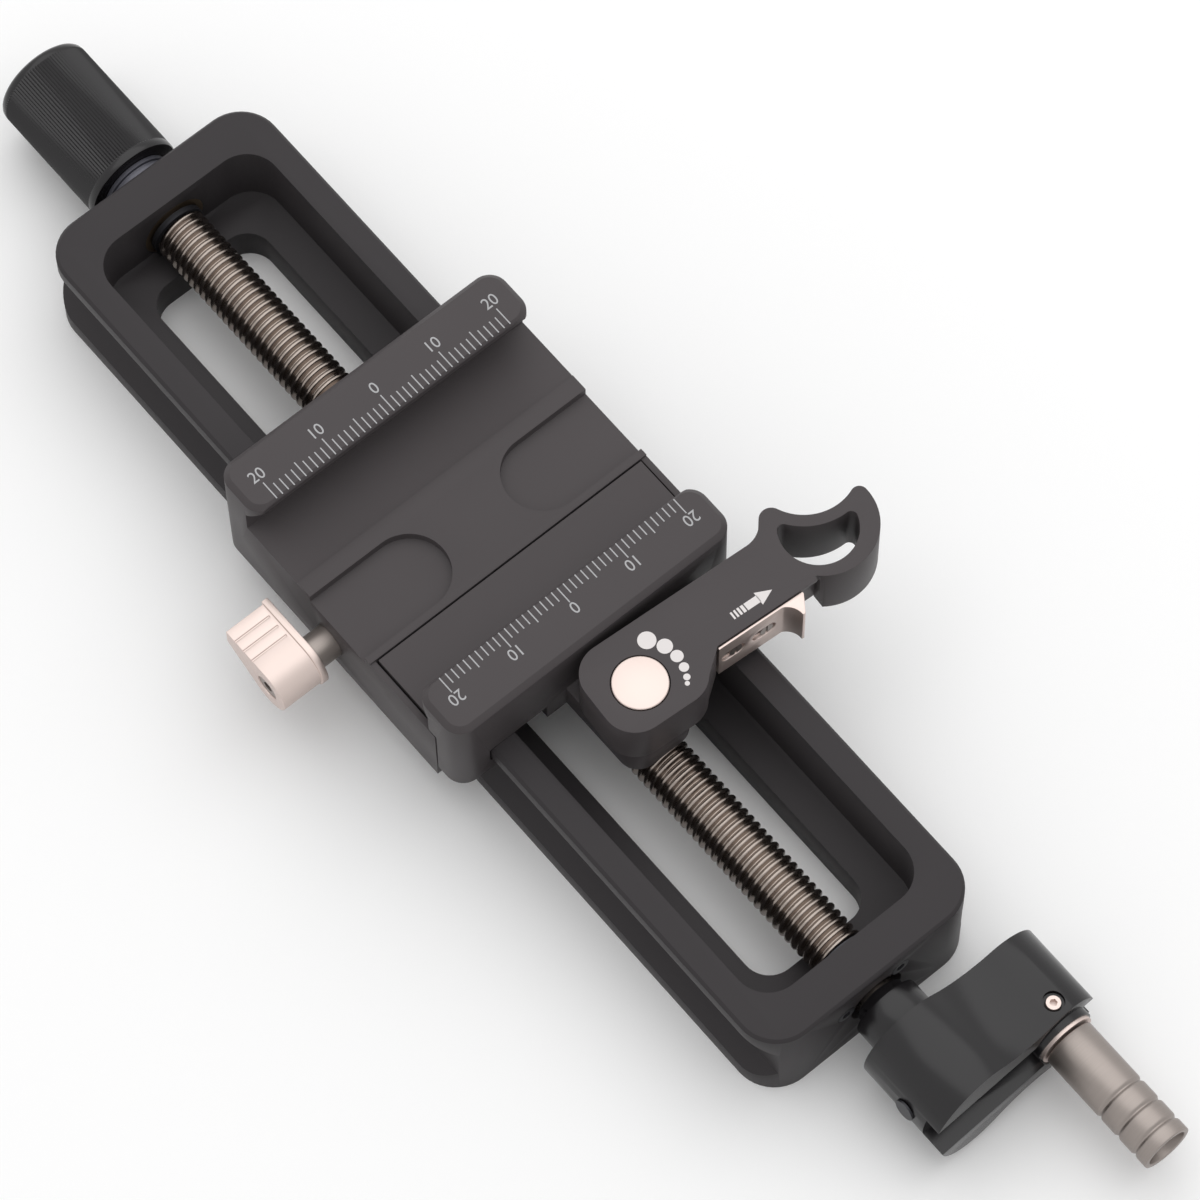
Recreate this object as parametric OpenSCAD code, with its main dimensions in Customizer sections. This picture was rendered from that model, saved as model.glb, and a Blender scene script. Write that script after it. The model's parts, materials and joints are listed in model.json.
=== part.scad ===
// Macro focusing rail: a long frame with a lead screw turned by a crank or a
// rear knob, and a carriage on it that carries a lever clamp for a dovetail
// plate. All lengths are in millimetres and all angles are in degrees.
// X runs along the rail towards the crank, Z is up, and the origin is at the
// middle of the frame's underside.

/* [Rail frame] */
// Length of the frame
rail_len = 154.4; // [140:0.1:200]
// Width of the frame and of the dovetail foot under it
rail_w = 36.6; // [35.5:0.1:40]
// Height of the frame
rail_h = 17; // [16.6:0.1:19]
// Radius of the frame's corners seen from above
rail_corner_r = 6; // [3:0.1:8]
// Chamfer round the frame's top edge
rail_chamfer = 0.45; // [0.1:0.05:0.9]
// Thickness of the two long rims beside the window
rim_side = 4; // [3.6:0.1:4.6]
// Thickness of the two end walls that hold the screw
rim_end = 6.2; // [5.5:0.1:9]
// Corner radius of the window
window_r = 5; // [2:0.1:7]
// Thickness of the floor left inside the window
floor_t = 6; // [4.5:0.1:7]
// Width of the slot through that floor
slot_w = 18.8; // [18.4:0.1:24]
// Length of floor left at each end of the slot
slot_land = 5; // [2:0.1:12]
// Corner radius of the slot
slot_r = 4; // [1:0.1:8]
// Height of the upright band at the foot of each flank
foot_h = 2.9; // [1.5:0.1:3.6]
// Height of the upright band at the top of each flank
brow_h = 2.6; // [1.8:0.1:3.4]
// Depth of the dovetail groove along each flank
groove_d = 2.5; // [1.8:0.1:2.6]
// Height of the screw's axis above the underside
axis_z = 9.5; // [9.2:0.1:9.9]

/* [Lead screw and bearings] */
// Outer diameter of the thread
screw_d = 8; // [7:0.1:8.2]
// Thread pitch, the carriage's travel for one turn
screw_pitch = 1.25; // [1:0.25:2.5]
// Depth of the thread
thread_depth = 0.65; // [0.3:0.05:0.8]
// Diameter of the plain journals at both ends of the screw
journal_d = 6; // [4:0.1:6.4]
// Outside diameter of the rear bush
bush_d = 10; // [9:0.1:12]
// Outside diameter of the front bearing
bearing_d = 8.6; // [8.2:0.1:9.2]
// Outside diameter of the thrust washers
thrust_d = 8.4; // [8:0.1:11]
// Thickness of a thrust washer
thrust_t = 0.8; // [0.5:0.1:1.5]
// Circle radius that the bearing's retaining screws stand on
retainer_r = 5.4; // [5.4:0.1:6.2]
// Angle of the first retaining screw above the horizontal
retainer_angle = 42; // [0:1:60]
// Head diameter of a retaining screw
retainer_head_d = 2.8; // [2.4:0.1:3]
// Head height of a retaining screw
retainer_head_h = 1.1; // [0.8:0.1:1.5]
// Thread diameter of a retaining screw
retainer_thread_d = 1.4; // [1:0.1:1.4]
// Depth that a retaining screw reaches below the end face
retainer_depth = 4.4; // [3:0.1:5.2]

/* [Rear knob] */
// Diameter of the fine-focus knob
knob_d = 14.4; // [12.5:0.1:16]
// Length of the fine-focus knob
knob_len = 21.4; // [14:0.1:30]
// Rounding of the knob's far end
knob_round = 1.1; // [0.5:0.1:3]
// Diameter of the collar between knob and frame
rear_collar_d = 10.4; // [9:0.1:12.4]
// Length of the collar between knob and frame
rear_collar_len = 2.3; // [1:0.1:6]

/* [Crank] */
// Diameter of the collar between frame and crank arm
front_collar_d = 9.8; // [8:0.1:10]
// Length of the collar between frame and crank arm
front_collar_len = 6; // [4:0.1:12]
// Diameter of that collar's narrow neck beside the frame
front_neck_d = 7.4; // [7:0.1:8]
// Length of that neck
front_neck_len = 1.4; // [0.6:0.1:3]
// Thickness of the crank arm along the screw's axis
arm_t = 13.6; // [11:0.1:16]
// Radius of the arm's hub end
hub_r = 7.6; // [7:0.1:7.7]
// Radius of the arm's handle end
handle_end_r = 6.2; // [5:0.1:7]
// Distance from the screw's axis to the grip's axis
crank_throw = 15.4; // [14:0.1:24]
// Angle of the arm at rest, measured from +Y towards +Z
crank_angle = -4.5; // [-30:0.5:8]
// Radius of the hollow waist on both sides of the arm
waist_r = 14; // [8:0.5:30]
// Slant of the arm's front face across the arm
face_slant = 3.4; // [0:0.1:5]
// Height of the slot across the front face
face_slot_h = 4.4; // [2:0.1:6]
// Depth of that slot behind the front face
face_slot_d = 2.4; // [1:0.1:4]
// Height of the slot's lower edge, measured from the arm's centre line
face_slot_z = -2.2; // [-3:0.1:0]
// How far the lip under the slot stands forward of the front face
face_lip = 1.4; // [0.5:0.1:2]
// Outside diameter of the grip
grip_d = 7.5; // [7:0.1:8.5]
// Length of the grip
grip_len = 19.2; // [14:0.1:40]
// Depth of the three grooves round the grip
grip_groove_d = 0.35; // [0.2:0.05:0.4]
// Width of those grooves
grip_groove_w = 0.9; // [0.5:0.1:1.4]
// Diameter of the grip's hollow open end
grip_mouth_d = 6; // [5.6:0.1:6.2]
// Depth of the hollow open end
grip_mouth_depth = 6; // [4:0.1:9]
// Diameter of the fixed axle that the grip turns on
axle_d = 4; // [3:0.1:4.4]
// Diameter of the axle's head inside the open end
axle_head_d = 5.2; // [4.8:0.1:5.4]
// Thickness of the axle's head
axle_head_t = 1.6; // [1:0.1:3]
// Outside diameter of the washer at the grip's foot
grip_washer_d = 8.3; // [7.8:0.1:9.5]
// Thickness of the washer at the grip's foot
grip_washer_t = 0.5; // [0.3:0.1:1]
// Diameter of the crank's small set screws
crank_screw_d = 2; // [1.5:0.1:3]

/* [Carriage and fixed jaw] */
// Position of the carriage's middle along the rail
carriage_x = -4.8; // [-30:0.1:10]
// Length of the clamp along the rail, both jaws included
clamp_len = 50.6; // [49:0.1:60]
// Width of the clamp across the rail
clamp_w = 47.6; // [46.5:0.1:56]
// Radius of the clamp's outer corners
clamp_corner_r = 2.8; // [1:0.1:4]
// Chamfer round the top of both jaws
jaw_chamfer = 0.8; // [0.2:0.1:1.2]
// Thickness of the clamp's floor above the frame
deck_t = 4; // [3.6:0.1:6]
// Height of the jaws above the floor
jaw_h = 7.6; // [7:0.1:10]
// Clear width between the lips of the closed jaws
channel_gap = 33.4; // [33:0.1:34.4]
// Depth of the undercut below each lip
undercut = 2.4; // [1.5:0.1:2.8]
// Height of the upright wall under the undercut
undercut_foot = 3.8; // [1:0.1:4]
// Height that the skirts reach down to, above the frame's underside
skirt_z = 8.5; // [7.6:0.1:9]
// Position of the shallow step in the floor, from the carriage's middle
step_x = -8.5; // [-14:0.1:-7]
// Depth of the shallow step
step_d = 0.25; // [0.1:0.05:0.6]
// Radius of the two round-ended pockets in the floor
pocket_r = 5.8; // [4:0.1:6]
// Distance from the middle to the centre of each pocket's round end
pocket_y = 11.6; // [8:0.1:16]
// Depth of the pockets
pocket_d = 1.5; // [0.5:0.1:2]
// Length of the block that hangs round the screw
block_len = 24; // [22:0.1:27]
// Width of that block
block_w = 17.6; // [16.6:0.1:17.8]
// Height of that block's underside above the frame's underside
block_z = 3; // [2:0.1:3.2]
// Outside diameter of the drive nut
nut_d = 10.8; // [10:0.1:11]
// Length of the drive nut
nut_len = 18; // [12:0.1:20]
// Diameter of the two screws that hold the nut
nut_screw_d = 2.5; // [1.6:0.1:3]

/* [Moving jaw] */
// Distance from the carriage's middle to the joint in the floor
joint_x = 6.9; // [6.4:0.1:9]
// Thickness of the moving jaw's floor plate
plate_t = 2.4; // [2:0.1:2.6]
// Thickness of the body's side wall beside that plate
cheek_t = 0.9; // [0.8:0.1:1.8]
// Thickness of the moving jaw's front wall
front_wall_t = 4.6; // [4.2:0.1:5.4]
// Height that the front wall's two ends reach down to
jaw_skirt_z = 11.5; // [9:0.1:14]
// Diameter of the draw bar and of the bore round it in the moving jaw
bar_d = 3; // [2.4:0.1:3]
// Width of the draw bar's flat head
bar_head_w = 7.6; // [7.2:0.1:7.8]
// Height of the draw bar and guide pins above the frame's underside
bar_z = 15.4; // [15.3:0.1:15.5]
// Diameter of the two guide pins
pin_d = 2.4; // [1.8:0.1:2.4]
// Depth of the guide pins inside the carriage's block
pin_depth = 8; // [5:0.1:12]
// Distance of each guide pin from the middle
pin_y = 6.2; // [5.9:0.1:6.4]
// Wire diameter of the jaw springs
spring_wire = 0.5; // [0.4:0.05:0.55]
// Number of coils in a jaw spring
spring_coils = 5; // [4:1:6]

/* [Clamp lever] */
// Distance from the carriage's middle to the lever's pivot
pivot_x = 34; // [33.8:0.1:36]
// Height of the lever's top face above the frame's underside
lever_top = 27.6; // [27.4:0.1:29]
// Height of the lever's arm and pivot end
lever_t = 8.2; // [7.4:0.1:8.2]
// Height of the finger ring at the lever's end
ring_t = 10; // [8.6:0.1:10]
// Angle of the lever at rest, clockwise from +Y
lever_angle = 4; // [0:0.5:8]
// Distance from the pivot to the lever's edge beside the jaw
lever_back = 7.7; // [7:0.1:7.8]
// Distance from the pivot to the pivot end's front edge
lever_front = 6.2; // [5.6:0.1:7]
// Distance from the pivot to the lever's near end
lever_near = 6.6; // [6:0.1:6.8]
// Distance from the pivot to the shoulder where the arm narrows
lever_shoulder = 8.9; // [7:0.1:10]
// Rounding of the pivot end's corners
lever_corner_r = 4.6; // [4.4:0.1:5.4]
// Distance from the pivot's line to the arm's front edge
arm_front = 1.2; // [1:0.1:2]
// Distance along the lever from the pivot to the finger ring's centre
ring_y = 33; // [31:0.1:40]
// Outer radius of the finger ring
ring_r = 7.7; // [7.4:0.1:9]
// Width of material round the finger hole
ring_wall = 2; // [1.6:0.1:2.8]
// Radius of the hollow on the ring's back
hollow_r = 7.4; // [7:0.1:9]
// Radius of the finger hole's two corners
hole_corner_r = 0.9; // [0.5:0.1:1]
// Radius of the ring's rounded tip
ring_tip_r = 1.2; // [0.8:0.1:1.4]
// Radius of the ring's rounded heel beside the arm
ring_heel_r = 1.7; // [1.2:0.1:2]
// Radius of the hollow neck between heel and arm
ring_neck_r = 4; // [2:0.1:6]
// Diameter of the pivot pin
pivot_d = 5; // [4:0.1:5.2]
// Diameter of the round cap over the pivot
cap_d = 7.7; // [6:0.1:8.6]
// Thickness of the cap
cap_t = 1.3; // [0.8:0.1:2]
// Offset of the pin's eccentric journal
eccentric = 1; // [0.4:0.05:1]
// Diameter of the eccentric journal
journal_ecc_d = 3.8; // [3.2:0.1:3.8]
// Width of the bracket that carries the pivot
bracket_w = 11; // [10.8:0.1:11.6]
// Thickness of the washer under the lever
cam_washer_t = 0.5; // [0.3:0.1:0.8]

/* [Lever lock] */
// Thickness of the lock tab
tab_t = 0.8; // [0.7:0.1:1.5]
// Reach of the lever's thin hood over the tab
hood_reach = 0.5; // [0.2:0.1:0.6]
// Thickness of that hood
hood_t = 0.7; // [0.4:0.1:1]
// Distance along the lever from the pivot to the tab's near end
tab_near = 11.2; // [10.8:0.1:11.6]
// Distance along the lever from the pivot to the tab's far end
tab_far = 25; // [24.6:0.1:25.4]
// Reach of the tab's finger hook beyond the arm
tab_hook = 3.4; // [2.6:0.1:5]
// Travel of the tab along the lever
tab_travel = 1.2; // [0.6:0.1:1.3]
// Distance along the lever from the pivot to the tab's first screw
tab_screw_y = 14; // [13.9:0.1:14.2]
// Distance between the tab's two screws
tab_screw_pitch = 5; // [4.6:0.1:5.2]
// Head diameter of the tab's screws
tab_head_d = 2.1; // [1.8:0.1:2.2]
// Head thickness of the tab's screws
tab_head_t = 0.35; // [0.3:0.05:0.4]
// Thread diameter of the tab's screws
tab_thread_d = 1.1; // [0.8:0.1:1.2]
// Height of the lug that stands behind the tab inside the lever
lug_h = 2.4; // [2:0.1:3]
// Depth of that lug inside the lever
lug_d = 3.2; // [3:0.1:3.6]

/* [Carriage lock] */
// Position of the locking screw along the rail, from the carriage's middle
lock_x = -2.1; // [-6:0.1:6]
// Height of the locking screw above the frame's underside
lock_z = 13.6; // [13:0.1:14]
// Diameter of the locking screw
lock_screw_d = 5; // [3:0.1:5]
// Radius of the thumb knob's round end
lock_hub_r = 3.8; // [3.4:0.1:5]
// Reach of the thumb knob's wing from the screw's axis
lock_reach = 8.4; // [7.6:0.1:14]
// Thickness of the wing at its tip
lock_tip_t = 2.8; // [2:0.1:4]
// Width of the thumb knob along the screw
lock_w = 7.3; // [6:0.1:12]
// Free length of screw between carriage and thumb knob
lock_stand = 3.5; // [1:0.1:6]
// Width of the thumb knob's rim beside the carriage
lock_rim_w = 1; // [0.6:0.1:2]
// Distance between the three grooves on the wing
lock_groove_pitch = 1.8; // [1:0.1:2]
// Width of those grooves
lock_groove_w = 0.3; // [0.2:0.05:0.6]
// Length of the brake shoe along the rail
shoe_len = 9; // [7:0.1:12]
// Thickness of the brake shoe behind the dovetail
shoe_t = 1.7; // [1.2:0.1:2]

/* [Fits] */
// Gap between faces that move past each other
gap = 0.3; // [0.25:0.05:0.35]
// Radial clearance of a shaft in its bore
run_fit = 0.05; // [0.02:0.01:0.1]

/* [Hidden] */
$fn = 64;
big = 200;
eps = 0.01;

half_len = rail_len / 2;
half_w = rail_w / 2;
window_len = rail_len - 2 * rim_end;
window_w = rail_w - 2 * rim_side;
wall_x = window_len / 2;
journal_r = journal_d / 2;
thread_x = wall_x - gap - thrust_t;
screw_front_x = half_len + gap + front_collar_len + arm_t - 3;
screw_rear_x = half_len + gap + rear_collar_len + knob_len - 6;
bearing_len = rim_end - retainer_head_h - gap;
knob_x = half_len + gap + rear_collar_len;

arm_x = half_len + gap + front_collar_len;
arm_front_x = arm_x + arm_t;
grip_y = crank_throw * cos(crank_angle);
grip_z = axis_z + crank_throw * sin(crank_angle);
grip_x = arm_front_x + grip_washer_t + gap;
axle_end_x = grip_x + grip_len - grip_mouth_depth + gap + axle_head_t;
axle_root_x = arm_x + arm_t / 2;

deck_under = rail_h + gap;
deck_z = deck_under + deck_t;
jaw_top = deck_z + jaw_h;
half_clamp = clamp_len / 2;
half_clamp_w = clamp_w / 2;
lip_x = channel_gap / 2;
plate_under = deck_z - plate_t;
body_front_x = half_clamp - front_wall_t - gap;
flank_top = rail_h - brow_h;
lip_in = half_w - groove_d + gap;
skirt_in = half_w + gap;
lip_slope_z = flank_top - gap * sqrt(2);
web_under = axis_z + screw_d / 2 + gap + 0.1;
block_front_x = block_len / 2;
nut_rear_x = -block_len / 2;
bar_root_x = nut_rear_x + nut_len + gap;
spring_x = block_front_x;
spring_len = half_clamp - front_wall_t - block_front_x;

lever_under = lever_top - lever_t;
bracket_top = lever_under - gap - cam_washer_t;
eye_top = bar_z + bar_d / 2;
eye_ceiling = eye_top + gap;
bracket_front = lever_front - 0.7;
ecc_x = eccentric * cos(45);
ecc_r = journal_ecc_d / 2;
eye_half_x = ecc_r + 0.1;
eye_wall = 1.3;
eye_y = eccentric * (1 + sin(45)) / 2;
eye_half_y = ecc_r + eccentric * (1 - sin(45)) / 2 + 0.15;
arm_w = lever_back + arm_front;
ring_x = arm_front - 5.7;
ring_root_y = ring_y - 8;
ring_step_y = ring_y - 4.4;
hollow_off = hollow_r + 1.5;
hollow_x = ring_x - hollow_off * cos(20);
hollow_y = ring_y + hollow_off * sin(20);
tab_z = lever_under;
tab_h = lever_t - 0.2;
lock_mid_z = lever_under + lever_t / 2;
lug_near = tab_far - 3.8;
lug_far = tab_far - 2.2;
tab_spring_len = tab_travel + 3.2;
spring_in = lug_d - 0.9;
tab_gap = 0.2;
tab_face = arm_front + tab_gap + tab_t;
tab_head_z = tab_t + tab_gap - tab_head_t - 0.05;

// Rectangle with rounded corners, centred.
module round_rect(l, w, r) {
    square([l - 2 * r, w], center = true);
    square([l, w - 2 * r], center = true);
    for (sx = [-1, 1])
        for (sy = [-1, 1])
            translate([sx * (l / 2 - r), sy * (w / 2 - r)])
                circle(r);
}

// Plate with rounded corners and a chamfer round its top edge.
module chamfered_slab(l, w, r, h, c) {
    linear_extrude(h - c)
        round_rect(l, w, r);
    translate([0, 0, h - c]) {
        rotate([90, 0, 90])
            linear_extrude(l - 2 * r, center = true)
                polygon([[-w / 2, 0], [w / 2, 0], [w / 2 - c, c], [c - w / 2, c]]);
        rotate([90, 0, 0])
            linear_extrude(w - 2 * r, center = true)
                polygon([[-l / 2, 0], [l / 2, 0], [l / 2 - c, c], [c - l / 2, c]]);
        for (sx = [-1, 1])
            for (sy = [-1, 1])
                translate([sx * (l / 2 - r), sy * (w / 2 - r), 0])
                    cylinder(h = c, r1 = r, r2 = r - c);
    }
}

// Cylinder along +X that starts at x.
module rod_x(x, len, r) {
    translate([x, 0, 0])
        rotate([0, 90, 0])
            cylinder(h = len, r = r);
}

// Ring along +X that starts at x.
module tube_x(x, len, r_out, r_in) {
    difference() {
        rod_x(x, len, r_out);
        rod_x(x - 1, len + 2, r_in);
    }
}

// Children on the +Y side and their mirror image on the -Y side.
module both_sides() {
    children();
    mirror([0, 1, 0])
        children();
}

// Moves to the screw's axis.
module on_axis() {
    translate([0, 0, axis_z])
        children();
}

// Moves to the grip's axis.
module on_grip() {
    translate([0, grip_y, grip_z])
        children();
}

// Moves to the carriage's middle.
module on_carriage() {
    translate([carriage_x, 0, 0])
        children();
}

// Moves to the lever's pivot and turns along the lever.
module on_lever() {
    on_carriage()
        translate([pivot_x, 0, 0])
            rotate([0, 0, -lever_angle])
                children();
}

// Repeats children at the two screws that hold the drive nut, along +Y.
module at_nut_screws() {
    for (part = [0.25, 0.75])
        translate([nut_rear_x + part * nut_len, 0, 0])
            rotate([-90, 0, 0])
                children();
}

// Moves to the locking screw's axis.
module on_lock() {
    on_carriage()
        translate([lock_x, 0, lock_z])
            children();
}

// Repeats children at the retaining screws round the front bearing.
module at_retainers() {
    for (i = [0:2])
        rotate([retainer_angle + 120 * i, 0, 0])
            translate([0, retainer_r, 0])
                children();
}

module rail_frame() {
    color("#34333a")
    difference() {
        chamfered_slab(rail_len, rail_w, rail_corner_r, rail_h, rail_chamfer);
        translate([0, 0, floor_t])
            linear_extrude(big)
                round_rect(window_len, window_w, window_r);
        translate([0, 0, -1])
            linear_extrude(big)
                round_rect(window_len - 2 * slot_land, slot_w, slot_r);
        both_sides()
            flank_groove();
        on_axis() {
            rod_x(-half_len - 1, rim_end + 2, bush_d / 2);
            rod_x(wall_x - 1, rim_end + 2, bearing_d / 2);
            rod_x(-wall_x, window_len, max(screw_d, thrust_d) / 2 + gap);
            at_retainers() {
                rod_x(half_len - retainer_head_h - 0.1, 2, retainer_head_d / 2 + 0.1);
                rod_x(half_len - retainer_depth, retainer_depth, retainer_thread_d / 2);
            }
        }
    }
}

// Dovetail groove along the +Y flank.
module flank_groove() {
    rotate([90, 0, 90])
        linear_extrude(big, center = true)
            polygon([[half_w + 1, foot_h - 1], [half_w - groove_d, foot_h + groove_d],
                [half_w - groove_d, flank_top - groove_d], [half_w + 1, flank_top + 1]]);
}

module front_bearing() {
    color("#8f9094")
    on_axis()
        tube_x(wall_x, bearing_len, bearing_d / 2, journal_r + run_fit);
}

module rear_bush() {
    color("#b0883a")
    on_axis()
        tube_x(-half_len, rim_end, bush_d / 2, journal_r + run_fit);
}

module retainer_screws() {
    color("#77777c")
    on_axis()
        at_retainers()
            difference() {
                union() {
                    rod_x(half_len - retainer_head_h, retainer_head_h, retainer_head_d / 2);
                    rod_x(half_len - retainer_depth, retainer_depth - retainer_head_h + 0.2,
                        retainer_thread_d / 2);
                }
                translate([half_len - 0.6, 0, 0])
                    rotate([0, 90, 0])
                        cylinder(h = 1, r = retainer_head_d * 0.27, $fn = 6);
            }
}

module lead_screw() {
    turns = floor(2 * thread_x / screw_pitch) - 1;
    start = -turns * screw_pitch / 2;
    crest = screw_d / 2;
    root = crest - thread_depth;
    color("#b9b4ae")
    on_axis() {
        rotate([0, 90, 0])
            rotate_extrude()
                polygon(concat([[0, -thread_x], [root, -thread_x]],
                    [for (i = [0:turns - 1], s = [0:1])
                        s == 0 ? [root, start + i * screw_pitch]
                            : [crest, start + (i + 0.5) * screw_pitch]],
                    [[root, -start], [root, thread_x], [0, thread_x]]));
        rod_x(-screw_rear_x, screw_rear_x, journal_r);
        rod_x(0, screw_front_x, journal_r);
    }
}

module thrust_washers() {
    color("#c9c4b8")
    on_axis() {
        tube_x(thread_x, thrust_t, thrust_d / 2, journal_r);
        tube_x(-thread_x - thrust_t, thrust_t, thrust_d / 2, journal_r);
    }
}

module front_collar() {
    color("#2a2a2e")
    on_axis() {
        tube_x(half_len + gap, front_collar_len, front_neck_d / 2, journal_r);
        tube_x(half_len + gap + front_neck_len, front_collar_len - front_neck_len,
            front_collar_d / 2, journal_r);
    }
}

module rear_collar() {
    color("#56555e")
    on_axis()
        tube_x(-knob_x, rear_collar_len, rear_collar_d / 2, journal_r);
}

module fine_knob() {
    r = knob_d / 2;
    color("#2b2a2c")
    on_axis()
        difference() {
            translate([-knob_x, 0, 0])
                rotate([0, -90, 0])
                    rotate_extrude()
                        difference() {
                            union() {
                                square([r, knob_len - knob_round]);
                                square([r - knob_round, knob_len]);
                                translate([r - knob_round, knob_len - knob_round])
                                    circle(knob_round);
                            }
                            translate([-r, -1])
                                square([r, knob_len + 2]);
                        }
            rod_x(-screw_rear_x, big, journal_r);
            translate([-knob_x - 2.4, 0, -r - 1])
                cylinder(h = r, r = crank_screw_d / 2);
        }
}

module knob_set_screw() {
    color("#77777c")
    on_axis()
        translate([-knob_x - 2.4, 0, -knob_d / 2 + 0.3])
            cylinder(h = knob_d / 2 - 0.3 - journal_r, r = crank_screw_d / 2);
}

// Outline of the crank arm: two round ends joined by hollow waists.
module arm_outline() {
    near = hub_r + waist_r;
    far = handle_end_r + waist_r;
    cx = (crank_throw * crank_throw + near * near - far * far) / (2 * crank_throw);
    cy = sqrt(near * near - cx * cx);
    circle(hub_r, $fn = 96);
    translate([crank_throw, 0])
        circle(handle_end_r, $fn = 96);
    difference() {
        polygon([[0, 0], [cx, cy], [crank_throw, 0], [cx, -cy]]);
        translate([cx, cy])
            circle(waist_r, $fn = 128);
        translate([cx, -cy])
            circle(waist_r, $fn = 128);
    }
}

// Half space in front of the arm's slanted face, moved forward by ahead.
module before_face(ahead, low, high) {
    translate([arm_front_x + ahead, 0, 0])
        rotate([0, 0, face_slant])
            translate([0, -50, low])
                cube([50, 100, high - low]);
}

module crank_arm() {
    color("#29292c")
    on_axis()
        rotate([crank_angle, 0, 0])
            difference() {
                union() {
                    difference() {
                        translate([arm_x, 0, 0])
                            rotate([90, 0, 90])
                                linear_extrude(arm_t + 6)
                                    arm_outline();
                        before_face(face_lip, -50, face_slot_z + eps);
                        before_face(0, face_slot_z, 50);
                        intersection() {
                            before_face(0, -50, face_slot_z + eps);
                            translate([0, crank_throw - 2, -50])
                                cube([big, 50, 100]);
                        }
                    }
                    translate([0, crank_throw, 0])
                        rod_x(arm_x + 1, arm_t - 1, grip_washer_d / 2 + 0.3);
                }
                difference() {
                    before_face(-face_slot_d, face_slot_z, face_slot_z + face_slot_h);
                    translate([0, crank_throw, 0])
                        rod_x(arm_x, big, grip_washer_d / 2 + 0.3);
                }
                translate([0, crank_throw, 0]) {
                    rod_x(arm_front_x, 20, grip_washer_d / 2 + gap);
                    rod_x(axle_root_x, big, axle_d / 2);
                    translate([arm_front_x - 3.2, 0, axle_d / 2])
                        cylinder(h = 20, r = crank_screw_d / 2);
                    translate([arm_front_x - 3.2, 0, handle_end_r - 0.9])
                        cylinder(h = 20, r = crank_screw_d / 2 + 0.5);
                }
                rod_x(arm_x - 1, screw_front_x - arm_x + 1, journal_r);
                translate([arm_x + arm_t * 0.6, 0, 0])
                    rotate([90, 0, 0])
                        cylinder(h = 20, r = crank_screw_d / 2);
            }
}

module crank_set_screw() {
    color("#3a3a3e")
    on_axis()
        rotate([crank_angle, 0, 0])
            translate([arm_x + arm_t * 0.6, -journal_r, 0])
                rotate([90, 0, 0]) {
                    cylinder(h = hub_r - journal_r, r = crank_screw_d / 2);
                    translate([0, 0, hub_r - journal_r])
                        cylinder(h = 0.3, r = crank_screw_d / 2 + 0.6);
                }
}

module axle_set_screw() {
    color("#d2cfca")
    on_axis()
        rotate([crank_angle, 0, 0])
            translate([arm_front_x - 3.2, crank_throw, 0])
                difference() {
                    translate([0, 0, axle_d / 2])
                        cylinder(h = handle_end_r - 0.5 - axle_d / 2, r = crank_screw_d / 2);
                    translate([0, 0, handle_end_r - 1.2])
                        cylinder(h = 2, r = crank_screw_d * 0.28, $fn = 6);
                }
}

module grip_axle() {
    color("#a8a4a0")
    on_grip()
        difference() {
            union() {
                rod_x(axle_root_x, axle_end_x - axle_root_x, axle_d / 2);
                rod_x(axle_end_x - axle_head_t, axle_head_t, axle_head_d / 2);
            }
            translate([axle_end_x - 1, -0.4, -5])
                cube([2, 0.8, 10]);
        }
}

module grip_washer() {
    color("#d8d2cc")
    on_grip()
        tube_x(arm_front_x, grip_washer_t, grip_washer_d / 2, axle_d / 2);
}

module crank_grip() {
    r = grip_d / 2;
    bore = axle_d / 2 + run_fit;
    mouth = grip_mouth_d / 2;
    color("#b5aca5")
    on_grip()
        translate([grip_x, 0, 0])
            rotate([0, 90, 0])
                rotate_extrude()
                    polygon(concat([[bore, 0], [r, 0]],
                        [for (part = [0.53, 0.71, 0.88], side = [-1, 0, 1])
                            [side == 0 ? r - grip_groove_d : r,
                                part * grip_len + side * grip_groove_w / 2]],
                        [[r, grip_len], [mouth, grip_len],
                            [mouth, grip_len - grip_mouth_depth],
                            [bore, grip_len - grip_mouth_depth]]));
}

// Plan outline of the whole clamp between two stations along the rail.
module clamp_plan(x0, x1) {
    intersection() {
        round_rect(clamp_len, clamp_w, clamp_corner_r);
        translate([x0, -50])
            square([x1 - x0, 100]);
    }
}

// Space that a dovetail plate slides into, between the closed jaws.
module channel() {
    rotate([90, 0, 0])
        linear_extrude(big, center = true)
            polygon([[-lip_x - undercut, deck_z], [lip_x + undercut, deck_z],
                [lip_x + undercut, deck_z + undercut_foot],
                [lip_x, deck_z + undercut_foot + undercut], [lip_x, jaw_top + 1],
                [-lip_x, jaw_top + 1], [-lip_x, deck_z + undercut_foot + undercut],
                [-lip_x - undercut, deck_z + undercut_foot]]);
}

// Block of the front jaw above the floor, chamfered round its top.
module jaw_block() {
    len = half_clamp - lip_x + jaw_chamfer / 2;
    difference() {
        translate([half_clamp - len / 2, 0, deck_z])
            chamfered_slab(len, clamp_w, clamp_corner_r, jaw_h, jaw_chamfer);
        channel();
    }
}

// Room for the frame between the skirts, with its dovetail ways.
module frame_room() {
    rotate([90, 0, 90])
        linear_extrude(big, center = true)
            polygon([[-skirt_in, deck_under], [-skirt_in, lip_slope_z + gap],
                [-lip_in, lip_slope_z + gap - groove_d], [-lip_in, -1],
                [lip_in, -1], [lip_in, lip_slope_z + gap - groove_d],
                [skirt_in, lip_slope_z + gap], [skirt_in, deck_under]]);
}

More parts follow.
